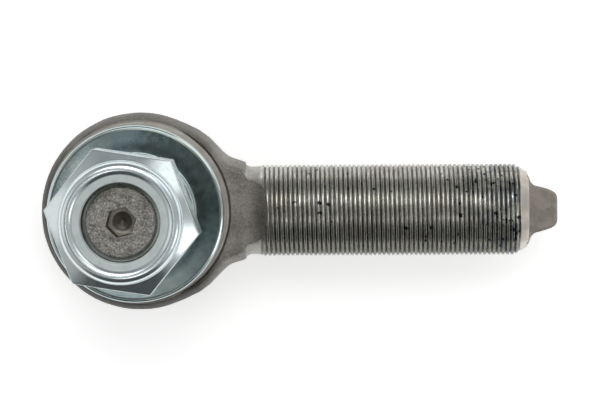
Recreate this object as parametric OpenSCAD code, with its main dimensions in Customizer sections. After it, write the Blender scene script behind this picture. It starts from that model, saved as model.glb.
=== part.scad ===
// Heavy duty ball joint rod end, male thread, with ball stud, dust boot,
// support disc and collar lock nut.
// Origin: centre of the ball. +X runs along the threaded shank, +Z along the
// ball stud at rest. Millimetres.

/* [Head] */

// Outside diameter of the forged head
head_d = 64.8; // [64:0.1:66]
// Height of the ring shoulder above the ball centre
shoulder_z = 10.5; // [10.2:0.1:10.8]
// Diameter of the ring shoulder
shoulder_d = 59.6; // [58:0.1:60.4]
// Diameter of the boot collar
collar_d = 43; // [42.6:0.1:43.4]
// Height of the boot collar above the ball centre
collar_z = 14.5; // [14.2:0.1:14.8]
// Depth of the head below the ball centre
head_bottom = 24; // [23.8:0.1:25]

/* [Shank] */

// Nominal diameter of the shank thread
shank_d = 30; // [29.8:0.1:30.2]
// Pitch of the shank thread, modelled as a plain cylinder
shank_pitch = 1.5; // [1:0.5:2]
// Distance from the ball centre to the first thread
thread_start = 40; // [39.5:0.1:40.5]
// Distance from the ball centre to the end of the full thread
thread_end = 122.8; // [110:0.1:130]
// Width across the two wrench flats on the neck
neck_af = 20; // [19:0.1:20.6]
// Length of the forged tang beyond the shank
tang_len = 10.2; // [10:0.1:11]
// Thickness of the forged tang
tang_t = 9.6; // [8:0.1:12]

/* [Ball stud] */

// Diameter of the ball
ball_d = 40; // [39.96:0.01:40.02]
// Diameter of the stud neck above the ball
stud_neck_d = 22.6; // [22:0.1:22.6]
// Large diameter of the stud cone
cone_d = 30; // [29.8:0.1:30]
// Height at which the cone starts
cone_z = 31; // [30:0.5:32]
// Length of the cone, taper 1 to 8
cone_len = 28; // [26:0.5:28]
// Diameter of the stud thread, modelled as a plain cylinder
stud_thread_d = 24; // [23.9:0.02:24]
// Height of the stud's end face above the ball centre
stud_end = 89.3; // [88.5:0.1:90]
// Width across flats of the hex socket in the stud end
socket_af = 8; // [6:1:10]
// Depth of the hex socket
socket_depth = 8; // [6:0.5:12]

/* [Disc and nut] */

// Diameter of the support disc
disc_d = 57; // [54:0.5:58]
// Height of the underside of the support disc
disc_z = 24; // [23.8:0.1:24.4]
// Rise of the disc's rim above its inner part
disc_dish = 0.8; // [0:0.1:1]
// Width across flats of the lock nut
nut_af = 41; // [40:0.5:42]
// Height of the underside of the nut
nut_z = 66; // [65.5:0.1:67]
// Overall height of the nut with its collar
nut_h = 28; // [27.6:0.1:28.4]

/* [Boot] */

// Thickness of the boot wall
boot_t = 1.4; // [1.2:0.1:1.6]
// Radius of the boot's bulge
boot_r = 25.5; // [24.5:0.1:26]

/* [Hidden] */

eps = 0.01;
ball_r = ball_d / 2;
seat_gap = 0.05;
bore_r = 23.5;
lip_r = 17.3;
lip_z = 11;
neck_r = stud_neck_d / 2;
shank_r = shank_d / 2;
relief_r = shank_r - 0.6;
cover_r = 26;
groove_r = 27.4;
ledge_z = -18.3;
ring_top = -21.4;
ring_bot = -23.0;
cone_top = cone_z + cone_len;
cone_small_r = cone_d / 2 - cone_len / 16;
stud_r = stud_thread_d / 2;
nut_bore_r = stud_r + 0.06;
nut_top = nut_z + nut_h;
shank_end = thread_end + 4;
socket_turn = -46;
nut_turn_deg = -8.9;

$fn = 96;

// ---------------------------------------------------------------- housing

// Solid head without its bore
module head_blank() {
    r = head_d / 2;
    rotate_extrude()
        polygon([[0, -head_bottom], [r - 3.0, -head_bottom],
                 [r - 2.4, -head_bottom + 1.0], [r - 1.2, -14],
                 [r - 0.25, -5], [r, -1.5], [r, 1.5], [r - 0.25, 4.0],
                 [r - 0.85, 6.8], [r - 1.7, shoulder_z - 1.6],
                 [shoulder_d / 2 + 0.1, shoulder_z - 0.35],
                 [shoulder_d / 2 - 0.25, shoulder_z],
                 [collar_d / 2 + 2.7, shoulder_z],
                 [collar_d / 2, shoulder_z],
                 [collar_d / 2, shoulder_z + 0.4],
                 [collar_d / 2 - 0.5, shoulder_z + 0.5],
                 [collar_d / 2 - 0.5, collar_z - 1.3],
                 [collar_d / 2, collar_z - 1.2],
                 [collar_d / 2, collar_z - 0.4],
                 [collar_d / 2 - 0.4, collar_z], [0, collar_z]]);
}

// Neck and shank as one turned blank about X
module shank_blank() {
    rotate([0, 90, 0])
        rotate_extrude()
            polygon([[0, 16], [26, 16], [25.4, 20.5], [23.4, 22.6],
                     [21.5, 24.4], [19.4, 26.9], [17.9, 29.2], [17.2, 31.2],
                     [16.6, 33.2], [16.1, 34.4], [15.2, 35.1],
                     [relief_r + 0.1, 36.1], [relief_r, 36.8],
                     [relief_r, thread_start - 0.4],
                     [shank_r, thread_start], [shank_r, thread_end],
                     [shank_r - 2.4, shank_end],
                     [shank_r - 2.7, shank_end + 0.3], [0, shank_end + 0.3]]);
}

// Prism that cuts one wrench flat with its sloping run-out
module flat_cutter() {
    h = neck_af / 2;
    rotate([90, 0, 0])
        linear_extrude(height = 80, center = true)
            polygon([[0, h], [38.4, h], [39.2, h + 0.5],
                     [42.6, 14.9], [43.6, 17], [43.6, 45], [0, 45]]);
}

// Forged tang beyond the shank end
module tang() {
    x0 = shank_end - 3;
    x1 = shank_end + 0.3;
    x2 = x1 + tang_len;
    intersection() {
        linear_extrude(height = 40, center = true)
            polygon([[x0, -9.6], [x1, -9.6], [x1 + 0.8, -8.6],
                     [x1 + 1.8, -7.9], [x1 + 3.4, -7.45],
                     [x1 + 7.6, -6.2], [x1 + 8.9, -5.4], [x1 + 9.8, -4.3],
                     [x2, -2.8], [x2, 2.8], [x1 + 9.8, 4.3],
                     [x1 + 8.9, 5.4], [x1 + 7.6, 6.2], [x1 + 3.4, 7.45],
                     [x1 + 1.8, 7.9], [x1 + 0.8, 8.6], [x1, 9.6],
                     [x0, 9.6]]);
        rotate([90, 0, 0])
            linear_extrude(height = 40, center = true)
                polygon([[x0, -tang_t / 2 - 1.6], [x1, -tang_t / 2 - 1.6],
                         [x1 + 1.2, -tang_t / 2 - 0.4],
                         [x1 + 2.6, -tang_t / 2],
                         [x2 - 1.2, -tang_t / 2 + 1.0],
                         [x2, -tang_t / 2 + 2.4], [x2, tang_t / 2 - 2.4],
                         [x2 - 1.2, tang_t / 2 - 1.0],
                         [x1 + 2.6, tang_t / 2],
                         [x1 + 1.2, tang_t / 2 + 0.4],
                         [x1, tang_t / 2 + 1.6], [x0, tang_t / 2 + 1.6]]);
    }
}

// Space inside the head: ball race, cover bore and snap ring groove
module head_bore() {
    rotate_extrude()
        polygon([[0, -head_bottom - 1], [cover_r + 0.5, -head_bottom - 1],
                 [cover_r + 0.5, -head_bottom],
                 [cover_r, -head_bottom + 0.5], [cover_r, ring_bot],
                 [groove_r, ring_bot], [groove_r, ring_top],
                 [cover_r, ring_top], [cover_r, ledge_z],
                 [bore_r, ledge_z], [bore_r, 6.2], [lip_r, lip_z],
                 [19.0, collar_z], [19.0, collar_z + 1],
                 [0, collar_z + 1]]);
}

module housing() {
    color([0.42, 0.40, 0.38])
        difference() {
            union() {
                head_blank();
                difference() {
                    shank_blank();
                    flat_cutter();
                    mirror([0, 0, 1]) flat_cutter();
                }
                tang();
            }
            head_bore();
        }
}

// -------------------------------------------------------------- ball stud

module ball_stud() {
    color([0.45, 0.43, 0.41])
        difference() {
            union() {
                intersection() {
                    sphere(r = ball_r, $fn = 128);
                    translate([0, 0, -18.8]) cylinder(r = 30, h = 60);
                }
                rotate_extrude()
                    polygon([[0, 5], [neck_r, 5], [neck_r, 22.4],
                             [neck_r + 0.7, disc_z - 0.2],
                             [cone_d / 2, disc_z - 0.05],
                             [cone_d / 2, cone_z],
                             [cone_small_r, cone_top],
                             [stud_r - 0.2, cone_top + 0.3],
                             [stud_r - 1.0, cone_top + 0.5],
                             [stud_r - 1.0, cone_top + 1.3],
                             [stud_r, cone_top + 2.0],
                             [stud_r, stud_end - 1.8],
                             [stud_r - 1.8, stud_end], [0, stud_end]]);
            }
            translate([0, 0, stud_end - socket_depth])
                rotate([0, 0, socket_turn])
                    cylinder(r = socket_af / sqrt(3), h = socket_depth + 1,
                             $fn = 6);
            translate([0, 0, stud_end - socket_depth - 1.6])
                cylinder(r1 = 0.2, r2 = 2.6, h = 1.6 + eps);
        }
}

// ------------------------------------------------------------- bearing set

module upper_ball_seat() {
    color([0.90, 0.89, 0.84])
        difference() {
            rotate_extrude()
                polygon([[14, 0.6], [bore_r - 0.04, 0.6],
                         [bore_r - 0.04, 6.15], [lip_r + 0.3, lip_z - 0.28],
                         [14, lip_z - 0.28]]);
            sphere(r = ball_r + seat_gap, $fn = 128);
        }
}

module lower_ball_seat() {
    color([0.90, 0.89, 0.84])
        difference() {
            rotate_extrude()
                polygon([[11, -15.4], [bore_r - 0.04, -15.4],
                         [bore_r - 0.04, -0.6], [11, -0.6]]);
            sphere(r = ball_r + seat_gap, $fn = 128);
        }
}

module spring_plate() {
    color([0.55, 0.56, 0.58])
        rotate_extrude()
            polygon([[13.4, -15.42], [bore_r - 0.1, -15.42],
                     [bore_r - 0.1, -16.2], [13.4, -16.2]]);
}

module preload_spring() {
    color([0.30, 0.31, 0.33])
        rotate_extrude()
            polygon([[13.6, -16.22], [bore_r - 0.5, -17.2],
                     [bore_r - 0.5, -18.28], [13.6, -17.3]]);
}

module end_cover() {
    color([0.62, 0.64, 0.66])
        difference() {
            rotate_extrude()
                polygon([[0, -20.6], [8.6, -20.6], [11.4, ledge_z - 0.02],
                         [cover_r - 0.05, ledge_z - 0.02],
                         [cover_r - 0.05, -19.1], [24.2, -19.1],
                         [24.2, -20.7], [cover_r - 0.05, -20.7],
                         [cover_r - 0.05, ring_top], [14.6, ring_top],
                         [12.4, -23.1], [0, -23.1]]);
            translate([0, 0, -24]) cylinder(r = 1.2, h = 1.8, $fn = 24);
        }
}

module cover_seal_ring() {
    color([0.08, 0.08, 0.08])
        translate([0, 0, -19.9])
            rotate_extrude()
                translate([25.07, 0]) circle(r = 0.78, $fn = 32);
}

// Internal snap ring with two eyes for pliers
module retaining_ring() {
    z0 = ring_bot + 0.03;
    t = ring_top - ring_bot - 0.06;
    color([0.25, 0.26, 0.28])
        translate([0, 0, z0])
            difference() {
                union() {
                    difference() {
                        cylinder(r = groove_r - 0.05, h = t);
                        translate([0, 0, -1]) cylinder(r = 24.4, h = t + 2);
                    }
                    for (s = [-1, 1])
                        rotate([0, 0, 180 + s * 10.5])
                            translate([22.9, 0, 0]) cylinder(r = 2.6, h = t, $fn = 48);
                }
                translate([-40, -2.0, -1]) cube([30, 4.0, t + 2]);
                for (s = [-1, 1])
                    rotate([0, 0, 180 + s * 10.5])
                        translate([22.9, 0, -1]) cylinder(r = 1.25, h = t + 2, $fn = 32);
            }
}

// -------------------------------------------------------------------- boot

module boot() {
    t = boot_t;
    b = boot_r;
    color([0.06, 0.06, 0.065])
        rotate_extrude()
            polygon([[21.05, 11.2], [21.05, 12.9], [21.58, 12.98],
                     [21.65, 13.5], [22.3, 13.85], [23.3, 14.3], [b - 1.0 - t / 2, 15.1],
                     [b - t, 16.3], [b - 1.0 - t / 2, 17.6],
                     [23.2, 18.7], [20.5, 19.6], [17.6, 20.1],
                     [14.6, 20.3], [12.68, 20.7], [12.68, 23.5],
                     [14.9, 23.5], [15.3, 23.2], [15.05, 22.5],
                     [15.3, 21.8], [18.0, 21.5], [21.1, 21.0],
                     [24.0, 20.0], [b - 0.3, 18.5], [b, 16.5],
                     [b - 0.35, 14.8], [24.6, 13.7], [23.9, 13.2],
                     [23.55, 12.6], [23.5, 12.2], [23.6, 11.7],
                     [24.0, 11.1], [23.6, 10.75], [21.6, 10.75],
                     [21.55, 11.1]]);
}

module boot_bush() {
    color([0.85, 0.83, 0.75])
        rotate_extrude()
            polygon([[neck_r + 0.06, 21.3], [12.0, 21.3], [12.62, 21.9],
                     [12.62, 23.55], [neck_r + 0.9, 23.55],
                     [neck_r + 0.06, 22.3]]);
}

module boot_lower_clamp() {
    color([0.70, 0.72, 0.74])
        translate([0, 0, 12.2])
            rotate_extrude()
                translate([24.15, 0]) circle(r = 0.55, $fn = 32);
}

module boot_upper_clamp() {
    color([0.70, 0.72, 0.74])
        translate([0, 0, 22.5])
            rotate_extrude()
                translate([15.75, 0]) circle(r = 0.55, $fn = 32);
}

// ------------------------------------------------------------ disc and nut

module support_disc() {
    r = disc_d / 2;
    h = 19.05;
    d = disc_dish;
    color([0.66, 0.71, 0.74])
        rotate_extrude()
            polygon([[cone_d / 2 + 0.03, disc_z], [h + 0.6, disc_z],
                     [r - 1.0, disc_z + d], [r - 0.3, disc_z + d + 0.3],
                     [r, disc_z + d + 0.95], [r - 0.25, disc_z + d + 1.6],
                     [r - 0.85, disc_z + d + 1.9],
                     [r - 1.5, disc_z + d + 1.75], [h + 1.4, disc_z + 1.8],
                     [h + 0.4, disc_z + 2.3], [h, disc_z + 3.0],
                     [h - 0.6, disc_z + 3.6],
                     [cone_d / 2 + 0.03, disc_z + 3.6]]);
}

// Turned outline that cuts the hexagon bar to the nut's shape
module nut_outline() {
    ac = nut_af / sqrt(3);
    z0 = nut_z;
    z1 = nut_top;
    rotate_extrude()
        polygon([[0, z0], [nut_af / 2 - 0.8, z0], [nut_af / 2 - 0.6, z0 + 0.3],
                 [ac + 0.1, z0 + 2.4], [ac + 0.1, z1 - 6.35],
                 [21.6, z1 - 5.3], [20.2, z1 - 4.55], [19.45, z1 - 4.2],
                 [18.6, z1 - 4.0], [17.9, z1 - 3.6], [17.45, z1 - 2.9],
                 [17.3, z1 - 2.0], [17.0, z1 - 1.0], [16.4, z1 - 0.3],
                 [15.6, z1], [14.8, z1 - 0.15], [14.15, z1 - 0.6],
                 [0, z1 - 0.6]]);
}

module lock_nut() {
    color([0.68, 0.74, 0.77])
        difference() {
            intersection() {
                translate([0, 0, nut_z - 1])
                    rotate([0, 0, nut_turn_deg])
                        cylinder(r = nut_af / sqrt(3), h = nut_h + 2, $fn = 6);
                nut_outline();
            }
            rotate_extrude()
                polygon([[0, nut_z - 2], [nut_bore_r + 1.2, nut_z - 2],
                         [nut_bore_r + 1.2, nut_z],
                         [nut_bore_r, nut_z + 1.2],
                         [nut_bore_r, nut_top - 4.4],
                         [16.0, nut_top - 4.4], [16.0, nut_top - 1.2],
                         [15.4, nut_top - 0.75], [14.2, nut_top - 0.7],
                         [14.2, nut_top + 1], [0, nut_top + 1]]);
        }
}

module nut_lock_insert() {
    color([0.74, 0.78, 0.80])
        rotate_extrude()
            polygon([[stud_r + 0.08, nut_top - 3.9],
                     [stud_r + 0.5, nut_top - 4.36],
                     [15.95, nut_top - 4.36], [15.95, nut_top - 1.25],
                     [15.35, nut_top - 0.82], [stud_r + 0.3, nut_top - 0.82],
                     [stud_r + 0.08, nut_top - 1.1]]);
}

housing();
ball_stud();
upper_ball_seat();
lower_ball_seat();
spring_plate();
preload_spring();
end_cover();
cover_seal_ring();
retaining_ring();
boot();
boot_bush();
boot_lower_clamp();
boot_upper_clamp();
support_disc();
lock_nut();
nut_lock_insert();
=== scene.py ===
import math
import bpy
import bmesh
import numpy as np
from mathutils import Matrix, Vector, noise


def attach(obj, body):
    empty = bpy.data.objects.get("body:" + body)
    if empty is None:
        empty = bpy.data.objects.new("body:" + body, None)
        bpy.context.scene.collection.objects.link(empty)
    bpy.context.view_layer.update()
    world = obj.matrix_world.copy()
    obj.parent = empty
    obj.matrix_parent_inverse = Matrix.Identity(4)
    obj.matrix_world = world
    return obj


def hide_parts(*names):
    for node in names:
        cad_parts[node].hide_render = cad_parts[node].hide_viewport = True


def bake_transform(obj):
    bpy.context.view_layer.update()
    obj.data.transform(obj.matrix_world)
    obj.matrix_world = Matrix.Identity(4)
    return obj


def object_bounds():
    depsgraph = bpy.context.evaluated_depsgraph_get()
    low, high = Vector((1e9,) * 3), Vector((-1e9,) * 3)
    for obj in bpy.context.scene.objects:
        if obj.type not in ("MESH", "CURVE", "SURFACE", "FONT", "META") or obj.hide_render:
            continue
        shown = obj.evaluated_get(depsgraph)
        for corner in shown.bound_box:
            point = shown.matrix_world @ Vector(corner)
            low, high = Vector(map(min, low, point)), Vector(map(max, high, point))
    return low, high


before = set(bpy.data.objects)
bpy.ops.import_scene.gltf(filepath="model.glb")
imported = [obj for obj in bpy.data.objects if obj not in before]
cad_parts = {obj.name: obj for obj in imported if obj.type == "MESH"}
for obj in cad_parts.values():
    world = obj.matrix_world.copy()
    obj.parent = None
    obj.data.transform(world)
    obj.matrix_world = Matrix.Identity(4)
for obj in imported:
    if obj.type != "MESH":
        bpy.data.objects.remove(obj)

CAD_BOX = [list(v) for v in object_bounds()]
MM = 0.001
D2R = math.pi / 180.0
scene = bpy.context.scene

# ------------------------------------------------------------------ sizes, mm
PITCH = 1.5
NUT_Z, NUT_TOP, NUT_AF = 66.0, 94.0, 41.0
STUD_END = 89.3
DISC_Z, DISC_R = 24.0, 28.5
END_X = 127.1

# ------------------------------------------------------------------ node help


class G:
    """Small helper that builds shader graphs."""

    def __init__(self, tree):
        self.t = tree
        self.n = tree.nodes
        self.l = tree.links

    def node(self, kind, **kw):
        nd = self.n.new(kind)
        for k, v in kw.items():
            setattr(nd, k, v)
        return nd

    def put(self, sock, val):
        if isinstance(val, bpy.types.NodeSocket):
            self.l.new(val, sock)
        elif val is not None:
            sock.default_value = val

    def math(self, op, a, b=None, c=None, clamp=False):
        nd = self.node("ShaderNodeMath", operation=op, use_clamp=clamp)
        self.put(nd.inputs[0], a)
        if b is not None:
            self.put(nd.inputs[1], b)
        if c is not None:
            self.put(nd.inputs[2], c)
        return nd.outputs[0]

    def vmath(self, op, a, b=None, scale=None):
        nd = self.node("ShaderNodeVectorMath", operation=op)
        self.put(nd.inputs[0], a)
        if b is not None:
            self.put(nd.inputs[1], b)
        if scale is not None:
            self.put(nd.inputs["Scale"], scale)
        return nd.outputs["Value"] if op in ("DOT_PRODUCT", "LENGTH", "DISTANCE") else nd.outputs["Vector"]

    def ramp(self, v, a, b, lo=0.0, hi=1.0, smooth=True):
        nd = self.node("ShaderNodeMapRange", clamp=True)
        nd.interpolation_type = "SMOOTHSTEP" if smooth else "LINEAR"
        self.put(nd.inputs["Value"], v)
        self.put(nd.inputs["From Min"], a)
        self.put(nd.inputs["From Max"], b)
        self.put(nd.inputs["To Min"], lo)
        self.put(nd.inputs["To Max"], hi)
        return nd.outputs["Result"]

    def noise(self, vec, scale, detail=3.0, rough=0.55, dist=0.0, dim="3D"):
        nd = self.node("ShaderNodeTexNoise")
        nd.noise_dimensions = dim
        if dim == "1D":
            self.put(nd.inputs["W"], vec)
        else:
            self.put(nd.inputs["Vector"], vec)
        nd.inputs["Scale"].default_value = scale
        nd.inputs["Detail"].default_value = detail
        nd.inputs["Roughness"].default_value = rough
        nd.inputs["Distortion"].default_value = dist
        return nd.outputs["Fac"]

    def voro(self, vec, scale, feature="F1", rand=1.0, out="Distance"):
        nd = self.node("ShaderNodeTexVoronoi", feature=feature)
        self.put(nd.inputs["Vector"], vec)
        nd.inputs["Scale"].default_value = scale
        nd.inputs["Randomness"].default_value = rand
        return nd.outputs[out]

    def mix(self, f, a, b, blend="MIX"):
        nd = self.node("ShaderNodeMix", data_type="RGBA", blend_type=blend, clamp_factor=True)
        self.put(nd.inputs["Factor"], f)
        self.put(nd.inputs[6], col(a))
        self.put(nd.inputs[7], col(b))
        return nd.outputs[2]

    def bump(self, h, strength, dist_mm, normal=None):
        nd = self.node("ShaderNodeBump")
        nd.inputs["Strength"].default_value = strength
        nd.inputs["Distance"].default_value = dist_mm * MM
        self.put(nd.inputs["Height"], h)
        if normal is not None:
            self.put(nd.inputs["Normal"], normal)
        return nd.outputs["Normal"]

    def coord(self):
        """Object coordinates in millimetres."""
        tc = self.node("ShaderNodeTexCoord")
        return self.vmath("SCALE", tc.outputs["Object"], scale=1000.0)

    def xyz(self, v):
        nd = self.node("ShaderNodeSeparateXYZ")
        self.put(nd.inputs[0], v)
        return nd.outputs[0], nd.outputs[1], nd.outputs[2]

    def comb(self, x, y, z):
        nd = self.node("ShaderNodeCombineXYZ")
        for i, v in enumerate((x, y, z)):
            self.put(nd.inputs[i], v)
        return nd.outputs[0]


def col(c):
    if isinstance(c, (tuple, list)) and len(c) == 3:
        return (c[0], c[1], c[2], 1.0)
    return c


def new_mat(name):
    m = bpy.data.materials.new(name)
    m.use_nodes = True
    t = m.node_tree
    bsdf = next(n for n in t.nodes if n.type == "BSDF_PRINCIPLED")
    return m, G(t), bsdf


# ----------------------------------------------------------------- materials


def mat_forged():
    """Drop forged, shot blasted steel, with painted shade on the side wall of the head."""
    m, g, b = new_mat("forged_steel")
    p = g.coord()
    x, y, z = g.xyz(p)
    grain = g.noise(p, 2.3, 4.0, 0.65)
    fine = g.voro(p, 2.2)
    big = g.noise(p, 0.13, 3.0, 0.5)
    mid = g.noise(p, 0.7, 3.0, 0.6)
    c = g.mix(g.ramp(big, 0.35, 0.68), (0.215, 0.200, 0.180), (0.310, 0.292, 0.262))
    c = g.mix(g.ramp(mid, 0.50, 0.72, 0.0, 0.55), c, (0.120, 0.110, 0.098))
    c = g.mix(g.ramp(grain, 0.55, 0.72, 0.0, 0.85), c, (0.50, 0.48, 0.44))
    c = g.mix(g.ramp(grain, 0.45, 0.32, 0.0, 0.75), c, (0.055, 0.05, 0.045))
    # painted shade on the outer side wall of the head: heaviest on one side, lighter towards the other, none on the
    # neck side
    lean = g.math("ADD", g.math("MULTIPLY", y, 0.8), g.math("MULTIPLY", x, 0.6))
    painted_shade = g.ramp(g.math("ADD", lean, g.math("MULTIPLY", big, 14.0)), 22.0, -2.0, 0.50, 0.96)
    painted_shade = g.math("MULTIPLY", painted_shade, g.ramp(g.vmath("LENGTH", g.comb(x, y, 0.0)), 29.2, 30.8))
    painted_shade = g.math("MULTIPLY", painted_shade, g.ramp(x, 29.0, 18.0))
    c = g.mix(painted_shade, c, (0.030, 0.028, 0.025))
    g.put(b.inputs["Base Color"], c)
    b.inputs["Metallic"].default_value = 0.40
    b.inputs["Specular IOR Level"].default_value = 0.28
    g.put(b.inputs["Roughness"], g.ramp(grain, 0.3, 0.75, 0.58, 0.38))
    n = g.bump(mid, 0.6, 0.25)
    n = g.bump(grain, 0.65, 0.11, n)
    n = g.bump(fine, 0.35, 0.06, n)
    g.put(b.inputs["Normal"], n)
    return m


def ring_coord(g, axis):
    """Distance along the axis and radius about it, in millimetres."""
    p = g.coord()
    x, y, z = g.xyz(p)
    if axis == "X":
        return p, x, g.vmath("LENGTH", g.comb(0.0, y, z))
    return p, z, g.vmath("LENGTH", g.comb(x, y, 0.0))


def mat_turned(name, axis="X", base=(0.46, 0.445, 0.42), rough=0.30, marks=5.0, mark_bump=0.25,
               dirt=0.5, warm=(0.33, 0.30, 0.265)):
    """Lathe-turned steel: fine marks round the axis, slight stain and dirt."""
    m, g, b = new_mat(name)
    p, along, rad = ring_coord(g, axis)
    w = g.math("ADD", along, g.math("MULTIPLY", rad, 1.37))
    lines = g.noise(w, marks, 3.0, 0.7, dim="1D")
    stain = g.noise(p, 0.22, 4.0, 0.62, 0.4)
    fleck = g.noise(p, 1.5, 4.0, 0.68)
    c = g.mix(g.ramp(stain, 0.40, 0.66), base, warm)
    c = g.mix(g.ramp(lines, 0.35, 0.70, 0.0, 0.35), c, (0.62, 0.61, 0.59))
    c = g.mix(g.ramp(fleck, 0.60, 0.72, 0.0, dirt), c, (0.035, 0.034, 0.036))
    g.put(b.inputs["Base Color"], c)
    b.inputs["Metallic"].default_value = 1.0
    r = g.math("ADD", g.ramp(lines, 0.3, 0.7, -0.05, 0.07), g.ramp(stain, 0.35, 0.7, rough - 0.03, rough + 0.12))
    g.put(b.inputs["Roughness"], r)
    n = g.bump(lines, mark_bump, 0.03)
    n = g.bump(fleck, 0.15, 0.05, n)
    g.put(b.inputs["Normal"], n)
    return m


def dots(g, p, scale, radius, keep, shape):
    """Separate irregular spots: one in some of the cells."""
    nd = g.node("ShaderNodeTexVoronoi", feature="F1")
    g.put(nd.inputs["Vector"], p)
    nd.inputs["Scale"].default_value = scale
    nd.inputs["Randomness"].default_value = 1.0
    rnd, gn, _ = g.xyz(nd.outputs["Color"])
    size = g.math("MULTIPLY", g.ramp(gn, 0.0, 1.0, 0.45, 1.0, False), radius * scale)
    d = g.math("ADD", nd.outputs["Distance"], g.math("MULTIPLY", g.math("SUBTRACT", shape, 0.5), 0.9 * radius * scale))
    spot = g.ramp(g.math("SUBTRACT", size, d), -0.02 * scale, 0.10 * scale)
    return g.math("MULTIPLY", spot, g.math("LESS_THAN", rnd, keep))


def mat_thread():
    """Rolled thread with painted shade on one side, darkened roots, dark specks towards its end and warm stain."""
    m, g, b = new_mat("rolled_thread")
    p, along, rad = ring_coord(g, "X")
    x, y, z = g.xyz(p)
    w = g.math("ADD", along, g.math("MULTIPLY", rad, 2.1))
    lines = g.noise(w, 5.0, 3.0, 0.75, dim="1D")
    turn = g.noise(g.math("ADD", along, g.math("MULTIPLY", g.math("ARCTAN2", z, y), PITCH / (2 * math.pi))), 0.67, 2.0, 0.5, dim="1D")
    ps = g.comb(g.math("MULTIPLY", x, 2.2), g.math("MULTIPLY", y, 0.38), g.math("MULTIPLY", z, 0.38))
    streak = g.noise(ps, 1.0, 4.0, 0.68)
    stain = g.noise(p, 0.11, 4.0, 0.6, 0.6)
    c = g.mix(g.ramp(stain, 0.36, 0.66), (0.50, 0.50, 0.465), (0.37, 0.355, 0.32))
    c = g.mix(g.ramp(turn, 0.45, 0.72, 0.0, 0.50), c, (0.22, 0.215, 0.20))
    c = g.mix(g.ramp(streak, 0.48, 0.68, 0.0, 0.60), c, (0.17, 0.165, 0.15))
    c = g.mix(g.ramp(streak, 0.43, 0.28, 0.0, 0.70), c, (0.86, 0.85, 0.81))
    # painted shade: the thread darkened on its -Y side, with a stain-noise edge
    painted_shade = g.ramp(g.math("ADD", y, g.math("MULTIPLY", stain, 6.0)), -1.0, -11.0)
    c = g.mix(g.math("MULTIPLY", painted_shade, 0.75), c, (0.085, 0.085, 0.072))
    # the thread roots are darkened
    root = g.ramp(rad, 14.60, 14.15, 0.0, 0.30)
    c = g.mix(root, c, (0.12, 0.12, 0.10))
    # specks: sparse along the thread, crowded in the last 25 mm
    shape = g.noise(p, 1.6, 3.0, 0.6)
    s1 = dots(g, p, 0.21, 0.80, 0.85, shape)
    dens = g.ramp(x, 90.0, 120.0, 0.06, 0.90)
    s2 = dots(g, p, 0.34, 0.80, dens, shape)
    s3 = dots(g, p, 0.24, 1.15, g.ramp(x, 96.0, 118.0, 0.0, 0.65), shape)
    speck = g.math("MAXIMUM", g.math("MAXIMUM", s1, s2), s3)
    film = g.math("MULTIPLY", g.ramp(x, 97.0, 121.0), g.ramp(g.noise(p, 0.19, 3.0, 0.6, 0.5), 0.44, 0.62))
    c = g.mix(g.math("MULTIPLY", film, 0.60), c, (0.062, 0.075, 0.100))
    c = g.mix(g.math("MULTIPLY", speck, 0.93), c, (0.006, 0.008, 0.020))
    g.put(b.inputs["Base Color"], c)
    b.inputs["Metallic"].default_value = 1.0
    r = g.math("ADD", g.ramp(lines, 0.3, 0.7, -0.04, 0.05), g.ramp(streak, 0.3, 0.7, 0.20, 0.32))
    g.put(b.inputs["Roughness"], r)
    n = g.bump(lines, 0.30, 0.03)
    n = g.bump(streak, 0.45, 0.06, n)
    g.put(b.inputs["Normal"], n)
    return m


def mat_zinc(name, rough=0.10, base=(0.66, 0.735, 0.755), wav=0.30, tint=0.5, lines=None):
    """Bright zinc plating with blue passivation."""
    m, g, b = new_mat(name)
    p, along, rad = ring_coord(g, "Z")
    film = g.noise(p, 0.10, 3.0, 0.5, 0.7)
    cloud = g.noise(p, 0.45, 4.0, 0.6)
    fine = g.noise(p, 3.2, 3.0, 0.6)
    c = g.mix(g.ramp(film, 0.52, 0.70, 0.0, tint), base, (0.74, 0.75, 0.68))
    c = g.mix(g.ramp(film, 0.46, 0.32, 0.0, tint), c, (0.56, 0.68, 0.76))
    c = g.mix(g.ramp(cloud, 0.55, 0.75, 0.0, 0.25), c, (0.50, 0.56, 0.58))
    g.put(b.inputs["Base Color"], c)
    b.inputs["Metallic"].default_value = 1.0
    r = g.math("ADD", g.ramp(cloud, 0.35, 0.7, rough - 0.02, rough + 0.05), g.ramp(fine, 0.4, 0.75, 0.0, 0.03))
    g.put(b.inputs["Roughness"], r)
    n = g.bump(cloud, wav, 0.035)
    n = g.bump(fine, 0.10, 0.01, n)
    if lines:
        w = g.math("ADD", rad, g.math("MULTIPLY", along, 0.7))
        ln = g.noise(w, lines, 2.0, 0.6, dim="1D")
        n = g.bump(ln, 0.25, 0.015, n)
    g.put(b.inputs["Normal"], n)
    return m


def mat_stud_face():
    """Rough, sheared and hammered end face of the stud."""
    m, g, b = new_mat("stud_end_face")
    p = g.coord()
    grain = g.noise(p, 1.75, 5.0, 0.74, 0.4)
    pit = g.voro(p, 1.2)
    big = g.noise(p, 0.24, 3.0, 0.6, 0.5)
    c = g.mix(g.ramp(big, 0.40, 0.60), (0.17, 0.162, 0.148), (0.29, 0.278, 0.258))
    c = g.mix(g.ramp(grain, 0.52, 0.66, 0.0, 0.85), c, (0.56, 0.55, 0.52))
    c = g.mix(g.ramp(grain, 0.46, 0.35, 0.0, 0.75), c, (0.040, 0.037, 0.034))
    g.put(b.inputs["Base Color"], c)
    b.inputs["Metallic"].default_value = 0.85
    g.put(b.inputs["Roughness"], g.ramp(grain, 0.3, 0.7, 0.60, 0.36))
    n = g.bump(grain, 0.8, 0.16)
    n = g.bump(pit, 0.35, 0.10, n)
    g.put(b.inputs["Normal"], n)
    return m


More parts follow.
